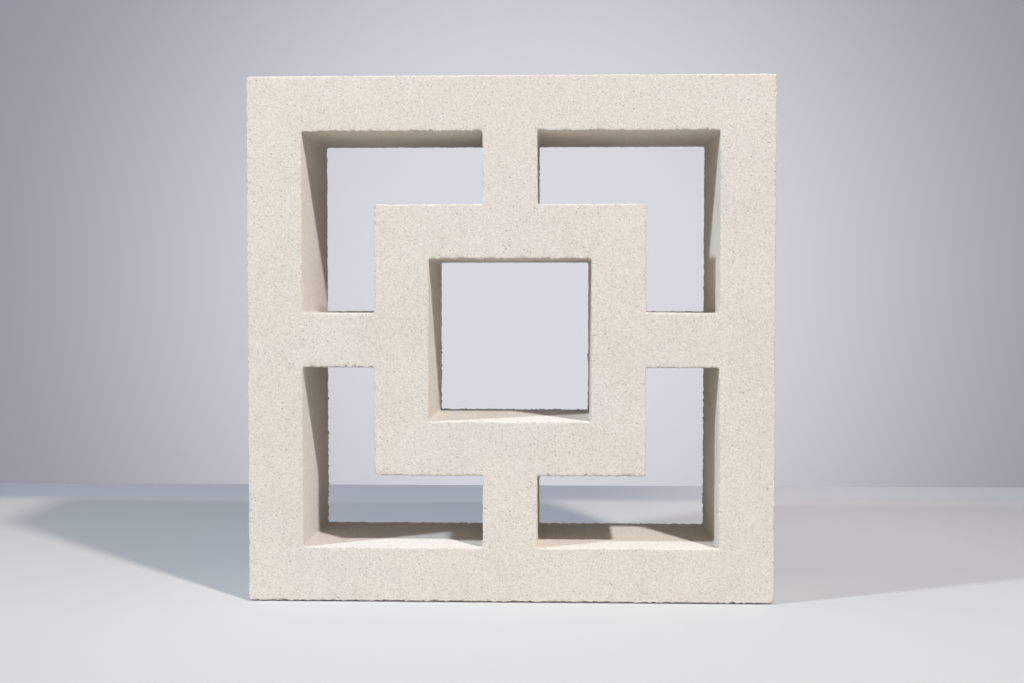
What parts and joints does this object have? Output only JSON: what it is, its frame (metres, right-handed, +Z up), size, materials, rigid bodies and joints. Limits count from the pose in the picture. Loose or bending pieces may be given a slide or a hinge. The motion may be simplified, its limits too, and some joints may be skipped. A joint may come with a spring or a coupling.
{
  "type": "decorative screen block",
  "caption": "Square cast concrete screen block: a frame, a square ring in its middle and bridges that join them, with openings right through for light and air.",
  "frame": {"origin": "centre of the bottom bed face, which the block stands on", "axes": "+X across the front to the right, +Y through the openings from front to back, +Z up"},
  "size_m": [0.3, 0.09, 0.3],
  "materials": {
    "white_concrete": "matte"
  },
  "bodies": {
    "root": {"screen_block": "white_concrete"}
  },
  "joints": []
}
